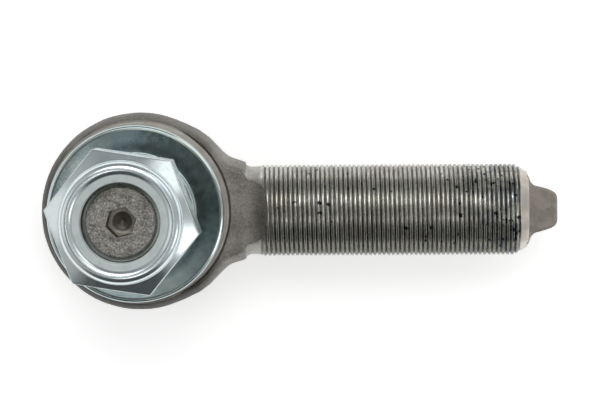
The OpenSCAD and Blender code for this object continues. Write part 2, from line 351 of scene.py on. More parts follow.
def mat_rubber():
    m, g, b = new_mat("boot_rubber")
    p = g.coord()
    fine = g.noise(p, 4.0, 4.0, 0.6)
    dust = g.noise(p, 0.25, 4.0, 0.65)
    c = g.mix(g.ramp(dust, 0.5, 0.75, 0.0, 0.5), (0.010, 0.010, 0.011), (0.034, 0.033, 0.032))
    g.put(b.inputs["Base Color"], c)
    g.put(b.inputs["Roughness"], g.ramp(dust, 0.4, 0.7, 0.48, 0.62))
    b.inputs["Specular IOR Level"].default_value = 0.42
    g.put(b.inputs["Normal"], g.bump(fine, 0.25, 0.03))
    return m


def mat_plastic(name, base, dark, rough=0.42, sss=0.0):
    m, g, b = new_mat(name)
    p = g.coord()
    fine = g.noise(p, 2.5, 4.0, 0.6)
    cloud = g.noise(p, 0.3, 3.0, 0.5)
    c = g.mix(g.ramp(cloud, 0.4, 0.7, 0.0, 0.7), base, dark)
    g.put(b.inputs["Base Color"], c)
    g.put(b.inputs["Roughness"], g.ramp(fine, 0.35, 0.7, rough - 0.05, rough + 0.08))
    g.put(b.inputs["Normal"], g.bump(fine, 0.15, 0.02))
    return m


M_FORGED = mat_forged()
M_SHOULDER = mat_turned("turned_shoulder", "Z", (0.36, 0.345, 0.32), 0.38, 4.0, 0.35, 0.45)
M_SHANK = mat_turned("turned_shank", "X", (0.30, 0.295, 0.27), 0.34, 5.0, 0.25, 0.35, (0.25, 0.24, 0.21))
M_CHAMFER = mat_turned("turned_chamfer", "X", (0.58, 0.545, 0.50), 0.34, 6.0, 0.35, 0.35, (0.49, 0.44, 0.39))
M_THREAD = mat_thread()
M_STUD_THREAD = mat_turned("stud_thread", "Z", (0.38, 0.38, 0.355), 0.28, 5.0, 0.25, 0.35, (0.40, 0.39, 0.36))
M_CONE = mat_turned("ground_cone", "Z", (0.30, 0.295, 0.285), 0.24, 9.0, 0.20, 0.15)
M_FACE = mat_stud_face()
M_SOCKET = mat_turned("socket_floor", "Z", (0.17, 0.155, 0.125), 0.36, 4.0, 0.4, 0.5, (0.13, 0.115, 0.09))
# painted shade: the socket walls get a near-black copy of the socket steel
M_SOCKET_WALL_SHADED = mat_turned("socket_wall_painted_shade", "Z", (0.06, 0.055, 0.048), 0.42, 4.0, 0.3, 0.4, (0.05, 0.045, 0.04))
M_ZINC = mat_zinc("zinc_nut", 0.18, tint=0.28, lines=5.0)
M_DISC = mat_zinc("zinc_disc", 0.08, (0.51, 0.60, 0.605), wav=0.20, tint=0.35)
# painted shade: a much darker copy of the nut's zinc for its bottom chamfer and underside
M_ZINC_UNDER_SHADED = mat_zinc("zinc_nut_underside_painted_shade", 0.24, (0.22, 0.24, 0.245), tint=0.2, lines=5.0)
M_ZINC_DULL = mat_zinc("zinc_cover", 0.22, (0.58, 0.63, 0.65), lines=3.0)
M_WIRE = mat_zinc("zinc_wire", 0.16, (0.55, 0.58, 0.60))
M_RUBBER = mat_rubber()
M_INSERT = mat_plastic("insert_polyamide", (0.60, 0.665, 0.66), (0.50, 0.57, 0.57), 0.34)
M_ACETAL = mat_plastic("seat_acetal", (0.78, 0.77, 0.70), (0.66, 0.64, 0.57), 0.40)
M_BUSH = mat_plastic("bush_acetal", (0.64, 0.60, 0.50), (0.55, 0.51, 0.42), 0.40)
M_SPRING = mat_turned("spring_steel", "Z", (0.12, 0.125, 0.14), 0.34, 3.0, 0.2, 0.3, (0.10, 0.09, 0.085))
M_RING = mat_turned("phosphated_ring", "Z", (0.085, 0.085, 0.09), 0.50, 3.0, 0.2, 0.3, (0.07, 0.065, 0.06))

# ------------------------------------------------------------------ mesh help


def make_mesh(name, verts_mm, faces, mats, face_mat=None, body=None, sharp=None, merge=1e-6):
    """A mesh object from points in millimetres. faces may hold -1 for triangles."""
    me = bpy.data.meshes.new(name)
    v = np.asarray(verts_mm, float) * MM
    f = [tuple(int(i) for i in q if i >= 0) for q in faces]
    me.from_pydata(v.tolist(), [], f)
    me.update()
    for mt in mats:
        me.materials.append(mt)
    if face_mat is not None:
        me.polygons.foreach_set("material_index", np.asarray(face_mat, np.int32))
    if merge:
        bm = bmesh.new()
        bm.from_mesh(me)
        bmesh.ops.remove_doubles(bm, verts=bm.verts, dist=merge)
        bmesh.ops.dissolve_degenerate(bm, dist=merge, edges=bm.edges)
        bm.to_mesh(me)
        bm.free()
    me.shade_smooth()
    if sharp:
        me.set_sharp_from_angle(angle=sharp * D2R)
    o = bpy.data.objects.new(name, me)
    scene.collection.objects.link(o)
    if body:
        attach(o, body)
    return o


def fillet(points, radius=0.25, seg=3):
    """Rounds the corners of an open outline. points are (r, z) or (r, z, radius)."""
    out = []
    n = len(points)
    for i, p in enumerate(points):
        rad = p[2] if len(p) > 2 else radius
        p0 = np.array(p[:2], float)
        if i in (0, n - 1) or rad <= 0:
            out.append(tuple(p0))
            continue
        a = np.array(points[i - 1][:2], float) - p0
        b = np.array(points[i + 1][:2], float) - p0
        la, lb = np.linalg.norm(a), np.linalg.norm(b)
        a, b = a / la, b / lb
        cosang = float(np.clip(a @ b, -1, 1))
        ang = math.acos(cosang)
        if ang > math.pi - 0.02:
            out.append(tuple(p0))
            continue
        t = min(rad / math.tan(ang / 2), 0.45 * la, 0.45 * lb)
        r = t * math.tan(ang / 2)
        bis = (a + b) / np.linalg.norm(a + b)
        c = p0 + bis * (r / math.sin(ang / 2))
        s, e = p0 + a * t - c, p0 + b * t - c
        a0 = math.atan2(s[1], s[0])
        a1 = math.atan2(e[1], e[0])
        d = (a1 - a0 + math.pi) % (2 * math.pi) - math.pi
        k = max(1, int(math.ceil(seg * abs(d) / (math.pi / 2) + 0.5)))
        for j in range(k + 1):
            q = a0 + d * j / k
            out.append((c[0] + r * math.cos(q), c[1] + r * math.sin(q)))
    return out


def lathe(name, outline, mats, body, n=192, axis="Z", seg_mat=None, sharp=None, closed=False):
    """Revolves an outline of (radius, height) in millimetres."""
    pr = np.array([p[:2] for p in outline], float)
    m = len(pr)
    th = np.arange(n) * 2 * math.pi / n
    R, T = np.meshgrid(pr[:, 0], th, indexing="ij")
    H = np.repeat(pr[:, 1][:, None], n, 1)
    if axis == "Z":
        V = np.stack([R * np.cos(T), R * np.sin(T), H], -1)
    else:
        V = np.stack([H, R * np.cos(T), R * np.sin(T)], -1)
    faces, fm = grid_faces(m, n, wrap_u=closed, wrap_v=True)
    if seg_mat is not None:
        fm = np.array([seg_mat(0.5 * (pr[i] + pr[(i + 1) % m])) for i in fm[:, 0]], int)
    else:
        fm = None
    return make_mesh(name, V.reshape(-1, 3), faces, mats, fm, body, sharp)


def grid_faces(m, n, wrap_u=False, wrap_v=True):
    """Quads of an m by n grid, and the (row, column) of each."""
    i = np.arange(m if wrap_u else m - 1)
    j = np.arange(n if wrap_v else n - 1)
    I, J = np.meshgrid(i, j, indexing="ij")
    I, J = I.ravel(), J.ravel()
    I1, J1 = (I + 1) % m, (J + 1) % n
    f = np.stack([I * n + J, I1 * n + J, I1 * n + J1, I * n + J1], 1)
    return f, np.stack([I, J], 1)


def poly_sdf(px, py, poly):
    """Signed distance from points to a closed polygon, negative inside."""
    poly = np.asarray(poly, float)
    d2 = np.full(px.shape, 1e18)
    inside = np.zeros(px.shape, bool)
    k = len(poly)
    for i in range(k):
        ax, ay = poly[i]
        bx, by = poly[(i + 1) % k]
        ex, ey = bx - ax, by - ay
        wx, wy = px - ax, py - ay
        t = np.clip((wx * ex + wy * ey) / (ex * ex + ey * ey + 1e-18), 0, 1)
        qx, qy = wx - ex * t, wy - ey * t
        np.minimum(d2, qx * qx + qy * qy, out=d2)
        c = ((ay <= py) & (by > py)) | ((by <= py) & (ay > py))
        with np.errstate(divide="ignore", invalid="ignore"):
            xs = ax + (py - ay) / (by - ay if by != ay else 1e-18) * ex
        inside ^= c & (px < xs)
    d = np.sqrt(d2)
    return np.where(inside, -d, d)


class Table:
    """A polygon's signed distance on a fine 2-D table, looked up bilinearly."""

    def __init__(self, poly, lo, hi, h=0.1):
        self.lo, self.h = np.array(lo, float), h
        nx, ny = [int(math.ceil((hi[i] - lo[i]) / h)) + 2 for i in (0, 1)]
        X, Y = np.meshgrid(lo[0] + h * np.arange(nx), lo[1] + h * np.arange(ny), indexing="ij")
        self.t = poly_sdf(X, Y, poly)

    def __call__(self, x, y):
        u = np.clip((x - self.lo[0]) / self.h, 0, self.t.shape[0] - 1.001)
        v = np.clip((y - self.lo[1]) / self.h, 0, self.t.shape[1] - 1.001)
        i, j = u.astype(int), v.astype(int)
        a, b = u - i, v - j
        t = self.t
        return (t[i, j] * (1 - a) * (1 - b) + t[i + 1, j] * a * (1 - b)
                + t[i, j + 1] * (1 - a) * b + t[i + 1, j + 1] * a * b)


def smin(a, b, k):
    h = np.clip(0.5 + 0.5 * (b - a) / k, 0, 1)
    return b + (a - b) * h - k * h * (1 - h)


def smax(a, b, k):
    return -smin(-a, -b, k)


def surface_nets(f, lo, hi, h, polish=3):
    """Quads on the zero level of f inside a box, moved on to the level afterwards."""
    ax = [np.arange(lo[i], hi[i] + h, h) for i in range(3)]
    X, Y, Z = np.meshgrid(*ax, indexing="ij")
    F = f(X, Y, Z)
    s = F < 0
    nx, ny, nz = F.shape
    idx = -np.ones((nx - 1, ny - 1, nz - 1), int)
    corners = [(i, j, k) for i in (0, 1) for j in (0, 1) for k in (0, 1)]
    cnt = sum(s[i:nx - 1 + i, j:ny - 1 + j, k:nz - 1 + k].astype(int) for i, j, k in corners)
    act = (cnt > 0) & (cnt < 8)
    idx[act] = np.arange(act.sum())
    ci, cj, ck = np.nonzero(act)
    P = np.zeros((len(ci), 3))
    N = np.zeros(len(ci))
    for a, b in [(p, q) for p in corners for q in corners if p < q and sum(abs(p[t] - q[t]) for t in range(3)) == 1]:
        fa = F[ci + a[0], cj + a[1], ck + a[2]]
        fb = F[ci + b[0], cj + b[1], ck + b[2]]
        m = (fa < 0) != (fb < 0)
        t = np.where(m, fa / (fa - fb + 1e-30), 0)
        for d in range(3):
            P[:, d] += np.where(m, a[d] + t * (b[d] - a[d]), 0)
        N += m
    P = P / N[:, None]
    V = np.stack([ax[0][ci], ax[1][cj], ax[2][ck]], 1) + P * h
    faces = []
    for d in range(3):
        e1, e2 = [(1, 2), (2, 0), (0, 1)][d]
        sl = [slice(0, None)] * 3
        a = [slice(1, -1)] * 3
        a[d] = slice(0, -1)
        b = list(a)
        b[d] = slice(1, None)
        sa, sb = s[tuple(a)], s[tuple(b)]
        cross = np.argwhere(sa != sb)
        flip = sa[tuple(cross.T)]
        base = cross + 1
        base[:, d] -= 1

        def cell(o1, o2):
            q = base.copy()
            q[:, e1] -= o1
            q[:, e2] -= o2
            return idx[q[:, 0], q[:, 1], q[:, 2]]

        q = np.stack([cell(0, 0), cell(1, 0), cell(1, 1), cell(0, 1)], 1)
        q[~flip] = q[~flip][:, ::-1]
        q = q[(q >= 0).all(1)]
        faces.append(q)
    faces = np.concatenate(faces)
    e = 0.02
    for _ in range(polish):
        v0 = f(V[:, 0], V[:, 1], V[:, 2])
        gx = f(V[:, 0] + e, V[:, 1], V[:, 2]) - v0
        gy = f(V[:, 0], V[:, 1] + e, V[:, 2]) - v0
        gz = f(V[:, 0], V[:, 1], V[:, 2] + e) - v0
        g = np.stack([gx, gy, gz], 1) / e
        n2 = np.maximum((g ** 2).sum(1), 0.25)
        V = V - g * (np.clip(v0, -h, h) / n2)[:, None]
    return V, faces


# ------------------------------------------------------------ forged housing


def flat_h(x):
    """Half thickness between the wrench flats at x."""
    return np.interp(x, [0, 35.1, 36.6, 38.0, 39.2, 40.2, 41.0, 41.7, 42.2, 42.6, 43.2, 50],
                     [10.0, 10.0, 10.15, 10.59, 11.24, 12.07, 13.0, 14.0, 15.0, 16.2, 18.5, 60.0])


HEAD = [(0, -23.7), (28.6, -23.7), (29.5, -23.2), (30.1, -22.0), (31.25, -14), (32.1, -5), (32.4, -1.5), (32.4, 1.5),
        (32.2, 4.0), (31.6, 6.8), (30.75, 9.0), (30.1, 10.0), (29.6, 10.25), (0, 10.25)]
NECK = [(0, 14), (27, 14), (26, 19), (23.6, 22.6), (21.6, 24.4), (19.3, 26.9), (17.9, 29.2), (17.2, 31.2), (16.6, 33.2),
        (16.25, 34.2), (15.9, 34.75), (15.0, 35.0), (14.3, 35.2), (14.3, 44.5), (0, 44.5)]
t_head = Table(HEAD, (0, -30), (48, 20))
t_neck = Table(NECK, (0, -2), (48, 60))


def housing_f(x, y, z):
    head = t_head(np.sqrt(x * x + y * y), z) - 0.0
    neck = t_neck(np.sqrt(y * y + z * z), np.clip(x, -1, 59))
    neck = np.where(x < 8, np.maximum(neck, 8 - x), neck)
    slab = (np.abs(z) - flat_h(x)) * 0.80
    neck = smax(neck, slab, 0.9)
    d = smin(head, neck, 3.0)
    rho = np.sqrt(x * x + y * y)
    d = np.maximum(d, -np.maximum(rho - 29.9, 9.95 - z))
    d = np.maximum(d, -(np.maximum(rho - 27.6, z + 17)))
    d = np.maximum(d, -(rho - 22.6))
    return d


def fbm(v, scale, seed):
    out = np.empty(len(v))
    off = Vector((seed * 7.31, seed * 3.17, seed * 1.93))
    for i, p in enumerate(v):
        out[i] = noise.noise(Vector(p) * scale + off)
    return out


def build_housing():
    V, F = surface_nets(housing_f, (-33.6, -33.6, -24.6), (44.4, 33.6, 17.6), 0.45)
    n = fbm(V, 0.16, 1) * 0.10 + fbm(V, 0.42, 2) * 0.045
    e = 0.05
    g = np.stack([housing_f(V[:, 0] + (e if d == 0 else 0), V[:, 1] + (e if d == 1 else 0), V[:, 2] + (e if d == 2 else 0))
                  - housing_f(V[:, 0], V[:, 1], V[:, 2]) for d in range(3)], 1)
    g /= np.maximum(np.linalg.norm(g, axis=1), 1e-9)[:, None]
    keep = np.clip((44.0 - V[:, 0]) / 10, 0, 1)
    V = V + g * (n * keep - 0.05)[:, None]
    o = make_mesh("housing_forging", V, F, [M_FORGED], None, "housing", None, merge=None)
    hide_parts("housing")

    # machined top: shoulder ring, boot collar and mouth; machined bottom: rim, cover bore and ring groove
    top = fillet([(22.8, 2.0, 0), (23.5, 6.2, 0.3), (17.3, 11.0, 0.4), (19.0, 14.5, 0.35), (21.5, 14.5, 0.35),
                  (21.5, 13.4, 0.15), (21.0, 13.2, 0.15), (21.0, 11.0, 0.2), (21.6, 10.5, 0.35), (29.2, 10.5, 0.3),
                  (29.85, 10.15, 0.25), (30.0, 9.0, 0)], 0.2, 4)
    t = lathe("housing_machined_top", top, [M_SHOULDER], "housing", 288, sharp=40)
    bot = fillet([(29.9, -22.6, 0), (29.3, -23.6, 0.3), (28.6, -24.0, 0.3), (26.6, -24.0, 0.3), (26.0, -23.5, 0.1),
                  (26.0, -23.0, 0.1), (27.4, -23.0, 0.1), (27.4, -21.4, 0.1), (26.0, -21.4, 0.1), (26.0, -18.3, 0.1),
                  (23.5, -18.3, 0.1), (23.5, 2.2, 0)], 0.15, 3)
    u = lathe("housing_machined_bore", bot, [M_SHOULDER], "housing", 224, sharp=40)


def thread_rows(x0, x1, m):
    """Sheared rows that follow a right-hand helix."""
    n = int(math.ceil((x1 - x0) / PITCH)) + 1
    k = np.arange(-m, n * m + 1)
    return x0 + k * PITCH / m, k % m


THREAD_PROFILE = {10: np.array([0.02, 0.0, 0.03, 0.30, 0.66, 0.93, 1.0, 0.93, 0.66, 0.30]),
                  12: np.array([0.02, 0.0, 0.02, 0.04, 0.12, 0.42, 0.84, 1.0, 0.84, 0.42, 0.12, 0.04])}


def helix(name, env, x0, x1, t0, t1, depth, n, m, axis, mats, mat_of, body, clamp=None, fade=1.2, wobble=0.0, seed=0):
    """A threaded surface of revolution. env(x) is its radius, and the thread runs from t0 to t1."""
    S, ph = thread_rows(x0, x1, m)
    th = np.arange(n + 1) * 2 * math.pi / n
    X = S[:, None] + PITCH * th[None, :] / (2 * math.pi)
    Xc = np.clip(X, x0, x1)
    prof = THREAD_PROFILE[m][ph][:, None]
    w = np.clip((Xc - t0) / fade + 0.5, 0, 1) * np.clip((t1 - Xc) / fade + 0.5, 0, 1)
    R = env(Xc)
    rr = R - prof * depth * w
    T = np.repeat(th[None, :], len(S), 0)
    act = np.zeros(R.shape, bool)
    if clamp is not None:
        rr, act = clamp(Xc, T, rr)
    if axis == "X":
        V = np.stack([Xc, rr * np.cos(T), rr * np.sin(T)], -1)
    else:
        V = np.stack([rr * np.cos(T), rr * np.sin(T), Xc], -1)
    rows = len(S)
    # column n is column 0 shifted by one pitch: index it so
    ids = np.arange(rows * n).reshape(rows, n)
    last = np.full((rows, 1), -1)
    last[:rows - m, 0] = ids[m:, 0]
    ids = np.concatenate([ids, last], 1)
    Vf = V[:, :n].reshape(-1, 3)
    q = np.stack([ids[:-1, :-1], ids[1:, :-1], ids[1:, 1:], ids[:-1, 1:]], -1).reshape(-1, 4)
    xm = Xc[:-1, :-1].ravel()
    x_a, x_b = Xc[:-1, :-1].ravel(), Xc[1:, 1:].ravel()
    am = act[:-1, :-1].ravel()
    ok = (q >= 0).all(1) & (x_b - x_a > 1e-5)
    q, xm, am = q[ok], xm[ok], am[ok]
    fm = np.array([mat_of(a, b) for a, b in zip(xm, am)], np.int32)
    return make_mesh(name, Vf, q, mats, None, body, None, merge=None), q, fm


def finish_grid(o, fm, sharp=None):
    me = o.data
    if len(fm) == len(me.polygons):
        me.polygons.foreach_set("material_index", fm)
    bm = bmesh.new()
    bm.from_mesh(me)
    bmesh.ops.remove_doubles(bm, verts=bm.verts, dist=1e-6)
    loose = [v for v in bm.verts if not v.link_faces]
    bmesh.ops.delete(bm, geom=loose, context="VERTS")
    bm.to_mesh(me)
    bm.free()
    me.shade_smooth()
    if sharp:
        me.set_sharp_from_angle(angle=sharp * D2R)


def build_shank():
    ex = np.array([34.2, 34.55, 34.9, 35.3, 35.8, 36.4, 37.0, 39.2, 40.2, 40.6, 122.6, 122.9, 126.75, 127.0, 127.1])
    er = np.array([16.15, 15.75, 15.2, 14.85, 14.58, 14.44, 14.40, 14.40, 14.9, 14.95, 14.95, 14.80, 12.55, 12.40, 12.1])

    def env(x):
        return np.interp(x, ex, er)

    def clamp(x, t, r):
        h = flat_h(x) - 0.12
        zz = r * np.sin(t)
        act = np.abs(zz) > h
        lim = h / np.maximum(np.abs(np.sin(t)), 1e-6)
        return np.where(act, np.minimum(r, lim), r), act

    def which(x, a):
        if a:
            return 3
        return 0 if x < 39.6 else (1 if x < 124.25 else 2)

    o, q, fm = helix("shank_thread", env, 34.2, END_X, 40.1, 124.1, 0.80, 300, 12, "X",
                     [M_SHANK, M_THREAD, M_CHAMFER, M_FORGED], which, "housing", clamp)
    finish_grid(o, fm, 55)
    end = fillet([(12.42, 126.95, 0), (12.1, 127.12, 0.1), (8.0, 127.12, 0.1), (0.02, 127.12, 0)], 0.1, 3)
    e = lathe("shank_end_face", end, [M_CHAMFER], "housing", 192, axis="X")


def build_tang():
    out = [(124, -11.2), (127.1, -11.2), (127.5, -10.6), (128.0, -9.1), (128.8, -8.15), (129.7, -7.65), (131.0, -7.38), (133.0, -6.85), (134.8, -6.2),
           (136.0, -5.55), (136.75, -4.7), (137.05, -3.9), (137.2, -2.8), (137.2, 2.8), (137.05, 3.9), (136.75, 4.7), (136.0, 5.55),
           (134.8, 6.2), (133.0, 6.85), (131.0, 7.38), (129.7, 7.65), (128.8, 8.15), (128.0, 9.1), (127.5, 10.6), (127.1, 11.2), (124, 11.2)]
    side = [(124, -6.6), (127.1, -6.6), (128.0, -5.6), (129.2, -5.0), (131.0, -4.75), (135.6, -4.1), (136.7, -3.4), (137.2, -2.2),
            (137.2, 2.2), (136.7, 3.4), (135.6, 4.1), (131.0, 4.75), (129.2, 5.0), (128.0, 5.6), (127.1, 6.6), (124, 6.6)]
    a = Table(out, (122, -14), (140, 14), 0.08)
    b = Table(side, (122, -14), (140, 14), 0.08)

    def f(x, y, z):
        d = smax(a(x, y), b(x, z), 1.1)
        pip = np.sqrt((x - 133.4) ** 2 + (y + 0.3) ** 2 + (z - 5.0) ** 2) - 0.75
        return smax(d, -pip, 0.25)

    V, F = surface_nets(f, (125.6, -12.0, -7.4), (137.8, 12.0, 7.4), 0.22)
    V = V + fbm(V, 0.35, 5)[:, None] * np.array([0.03, 0.07, 0.07])
    o = make_mesh("shank_end_tang", V, F, [M_TANG], None, "housing", None, merge=None)


def mat_tang():
    m, g, b = new_mat("forged_tang")
    p = g.coord()
    grain = g.noise(p, 2.2, 4.0, 0.65)
    big = g.noise(p, 0.22, 3.0, 0.5)
    c = g.mix(g.ramp(big, 0.40, 0.62), (0.330, 0.290, 0.270), (0.250, 0.235, 0.200))
    c = g.mix(g.ramp(grain, 0.58, 0.74, 0.0, 0.5), c, (0.36, 0.34, 0.31))
    c = g.mix(g.ramp(grain, 0.42, 0.28, 0.0, 0.5), c, (0.075, 0.066, 0.06))
    g.put(b.inputs["Base Color"], c)
    b.inputs["Metallic"].default_value = 0.50
    g.put(b.inputs["Roughness"], g.ramp(grain, 0.3, 0.75, 0.60, 0.44))
    n = g.bump(g.noise(p, 0.8, 3.0, 0.6), 0.5, 0.16)
    n = g.bump(grain, 0.45, 0.06, n)
    g.put(b.inputs["Normal"], n)
    return m


M_TANG = mat_tang()

build_housing()
build_shank()
build_tang()

# ------------------------------------------------------------------ ball stud


def build_stud():
    ex = np.array([58.6, 59.0, 59.3, 59.55, 60.3, 60.8, 61.4, 87.9, 88.1, 88.8, 89.0])
    er = np.array([13.27, 13.2, 11.6, 11.05, 11.05, 11.5, 11.96, 11.96, 11.85, 11.0, 10.8])
    o, q, fm = helix("stud_thread", lambda x: np.interp(x, ex, er), 59.3, 88.95, 61.6, 88.3, 0.84, 192, 12, "Z",
                     [M_STUD_THREAD], lambda x, a: 0, "stud")
    finish_grid(o, fm, 55)

    arc = [(20 * math.sin(a), -20 * math.cos(a)) for a in np.linspace(math.asin(6.83 / 20), math.pi - math.asin(11.6 / 20), 60)]
    body = [(0.02, -18.78)] + arc + fillet(
        [(11.35, 16.7, 0), (11.3, 18.0, 0.3), (11.3, 22.4, 0.3), (12.0, 23.8, 0.2), (15.0, 23.97, 0.25), (15.0, 31.0, 0.5),
         (13.26, 58.7, 0.3), (12.9, 59.1, 0.2), (11.8, 59.28, 0.2), (11.05, 59.5, 0)], 0.2, 4)
    fine = []
    for a, b in zip(body[:-1], body[1:]):
        fine.append(a)
        k = int(np.hypot(b[0] - a[0], b[1] - a[1]) // 3.0)
        fine += [(a[0] + (b[0] - a[0]) * j / (k + 1), a[1] + (b[1] - a[1]) * j / (k + 1)) for j in range(1, k + 1)]
    fine.append(body[-1])
    s = lathe("ball_stud_body", fine, [M_CONE, M_STUD_THREAD], "stud", 224, seg_mat=lambda p: 0 if p[1] < 58.9 else 1, sharp=40)
    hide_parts("ball_stud")

    # end face with its hex socket: rows scale between the hexagon and circles
    n, rot = 360, -46.0 * D2R
    th = rot + np.arange(n) * 2 * math.pi / n
    af, rc = 8.06, 0.18
    hexr = hex_radius(np.degrees(th - rot), af / 2, rc)
    rows = []
    for r, z in [(11.0, 88.8), (10.8, 88.98), (10.6, 89.14), (10.4, 89.26)]:
        rows.append((np.full(n, r), np.full(n, z), 0))
    rout = 10.4
    for k, u in enumerate(np.linspace(0.04, 1.0, 26)):
        r = rout * (1 - u) + (hexr + 0.28) * u
        rows.append((r, np.full(n, 89.30), 0))
    # rows below the face take the wall material, which is painted shade
    for dr, z in [(0.12, 89.24), (0.03, 89.12), (0.0, 88.9), (0.0, 87.0), (0.0, 84.0), (0.0, 82.6)]:
        rows.append((hexr + dr, np.full(n, z), 0 if z > 89.0 else 2))
    for s_, z in [(0.985, 82.46), (0.90, 82.40), (0.80, 82.36)]:
        rows.append((hexr * s_, np.full(n, z), 1))
    for r, z in [(2.95, 82.3), (2.7, 82.12), (1.9, 81.78), (1.1, 81.44), (0.55, 81.15), (0.3, 81.05), (0.02, 81.02)]:
        rows.append((np.full(n, r), np.full(n, z), 1))
    R = np.array([a[0] for a in rows])
    Z = np.array([a[1] for a in rows], float)
    V = np.stack([R * np.cos(th), R * np.sin(th), Z], -1)
    rough_face(V, R, hexr)
    f, ij = grid_faces(len(rows), n)
    fm = np.array([rows[min(i + 1, len(rows) - 1)][2] for i in ij[:, 0]], np.int32)
    e = make_mesh("stud_end_face", V.reshape(-1, 3), f, [M_FACE, M_SOCKET, M_SOCKET_WALL_SHADED], fm, "stud", 38)


def rough_face(V, R, hexr):
    """Uneven surface on the sheared end face."""
    m, n, _ = V.shape
    flat = V.reshape(-1, 3)
    w = (np.clip((10.7 - R) / 1.0, 0, 1) * np.clip((R - hexr[None, :] + 0.02) / 0.9, 0, 1)).ravel()
    w *= (flat[:, 2] > 89.2)
    idx = np.nonzero(w > 0)[0]
    a = fbm(flat[idx], 0.55, 11) * 0.13 + fbm(flat[idx], 1.5, 12) * 0.09
    flat[idx, 2] += a * w[idx] - 0.03 * w[idx]
    # slight dish towards the rim
    V[...] = flat.reshape(V.shape)


def hex_radius(deg, a, rc):
    """Radius of a hexagon with rounded corners. A corner is at 0 degrees, a is the distance to a flat."""
    d = (np.asarray(deg) + 30.0) % 60.0 - 30.0
    d = np.abs(d) * D2R
    c = (a - rc) / math.cos(30 * D2R)
    td = 30 * D2R - math.atan((a - rc) * math.tan(30 * D2R) / a)
    arc = c * np.cos(d) + np.sqrt(np.maximum(rc ** 2 - (c * np.sin(d)) ** 2, 0))
    flat = a / np.cos(30 * D2R - d)
    return np.where(d < td, arc, flat)


build_stud()

# ------------------------------------------------------------------- lock nut


def sector_angles():
    s = [0, 0.12, 0.25, 0.4, 0.6, 0.85, 1.3, 2, 3.2, 5, 7.5, 10, 13, 16, 20, 25, 30]
    s = s + [60 - v for v in s[-2:0:-1]]
    return np.array([60 * k + v for k in range(6) for v in s])


def build_nut():
    t = NUT_TOP
    deg = sector_angles()
    hr = hex_radius(deg, NUT_AF / 2, 0.45)
    th = (deg - 8.9) * D2R
    n = len(th)
    rows = []

    def ring(r, z):
        rows.append((np.full(n, float(r)), np.full(n, float(z))))

    # thread bore, insert pocket, rolled lip and fillet; the land list is left empty
    inner = fillet([(13.3, NUT_Z, 0), (12.1, NUT_Z + 1.2, 0.1), (12.06, NUT_Z + 1.5, 0), (12.06, t - 4.4, 0.1), (16.0, t - 4.4, 0.1),
                    (16.0, t - 1.6, 0.3), (15.4, t - 1.30, 0.1), (14.22, t - 1.22, 0.03)], 0.1, 3)
    lip = []
    cx, cz, rr = 16.2, t - 2.3, 2.3
    for a in np.linspace(149.5, 0, 30):
        lip.append((cx + rr * math.cos(a * D2R), cz + rr * math.sin(a * D2R)))
    fil = []
    fx, fz, fr = 19.35, t - 3.4, 0.85
    for a in np.linspace(180, 243, 12):
        fil.append((fx + fr * math.cos(a * D2R), fz + fr * math.sin(a * D2R)))
    land = []
    for r, z in inner + lip + fil + land:
        ring(r, z)
    tb = math.tan(27.0 * D2R)
    z_l, r_l = t - 4.157, 18.96

    def cone(r):
        return z_l - (r - r_l) * tb

    top_r = hr - 0.16
    for u in np.linspace(0.06, 1.0, 9):
        r = r_l + (top_r - r_l) * u
        rows.append((r, cone(r)))
    rows.append((hr - 0.05, cone(hr) - 0.02))
    rows.append((hr, cone(hr) - 0.15))
    zt = cone(hr) - 0.15
    bz = NUT_Z + 0.30 + np.maximum(hr - 20.0, 0) * math.tan(30 * D2R)
    for u in (0.03, 0.10, 0.25, 0.42, 0.58, 0.75, 0.90, 0.97):
        rows.append((hr, zt + (bz + 0.15 - zt) * u))
    rows.append((hr, bz + 0.15))
    rows.append((hr - 0.06, bz + 0.02))
    n_side = len(rows) - 1
    for u in (0.25, 0.6, 1.0):
        r = (hr - 0.2) + (20.0 - (hr - 0.2)) * u
        rows.append((r, NUT_Z + 0.30 + np.maximum(r - 20.0, 0) * math.tan(30 * D2R)))
    ring(19.85, NUT_Z + 0.12)
    ring(19.6, NUT_Z)
    ring(16.0, NUT_Z)
    ring(13.3, NUT_Z)
    R = np.array([a[0] for a in rows])
    Z = np.array([a[1] for a in rows])
    V = np.stack([R * np.cos(th), R * np.sin(th), Z], -1)
    f, ij = grid_faces(len(rows), n)
    # faces from the bottom chamfer on take the darker zinc copy, which is painted shade
    fm = np.where(ij[:, 0] >= n_side, 1, 0).astype(np.int32)
    o = make_mesh("lock_nut_body", V.reshape(-1, 3), f, [M_ZINC, M_ZINC_UNDER_SHADED], fm, "nut", 50)
    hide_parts("lock_nut")

    ins = fillet([(12.5, t - 4.35, 0), (12.10, t - 3.9, 0.1), (12.10, t - 1.15, 0.15), (12.35, t - 0.86, 0.12), (14.2, t - 0.84, 0.05),
                  (15.3, t - 0.84, 0.1), (15.6, t - 1.3, 0.1), (15.9, t - 4.35, 0)], 0.1, 4)
    i = lathe("nut_insert_ring", ins, [M_INSERT], "nut_carrier", 224, sharp=50)
    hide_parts("nut_lock_insert")


build_nut()

# -------------------------------------------------------------- support disc


def build_disc():
    z, r, d, h = DISC_Z, DISC_R, 0.8, 19.05
    pts = [(15.03, z, 0), (h + 0.6, z, 1.5), (r - 1.0, z + d, 0.3), (r - 0.3, z + d + 0.3, 0.3), (r, z + d + 0.95, 0.35),
           (r - 0.3, z + d + 1.6, 0.35), (r - 0.85, z + d + 1.88, 0.30), (r - 1.45, z + 2.46, 0.30),
            (24.0, z + 2.27, 3.0), (21.5, z + 2.12, 2.0), (h + 0.55, z + 2.03, 0.35), (h + 0.1, z + 2.38, 0.2), (h, z + 3.1, 0.2), (h - 0.45, z + 3.58, 0.25), (16.2, z + 3.6, 0.3),
           (15.05, z + 3.3, 0.2), (15.03, z + 3.0, 0)]
    o = lathe("support_disc_plate", fillet(pts, 0.3, 8), [M_DISC], "stud", 384, sharp=60, closed=False)
    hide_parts("support_disc")


build_disc()

# ------------------------------------------------------------- boot and rings


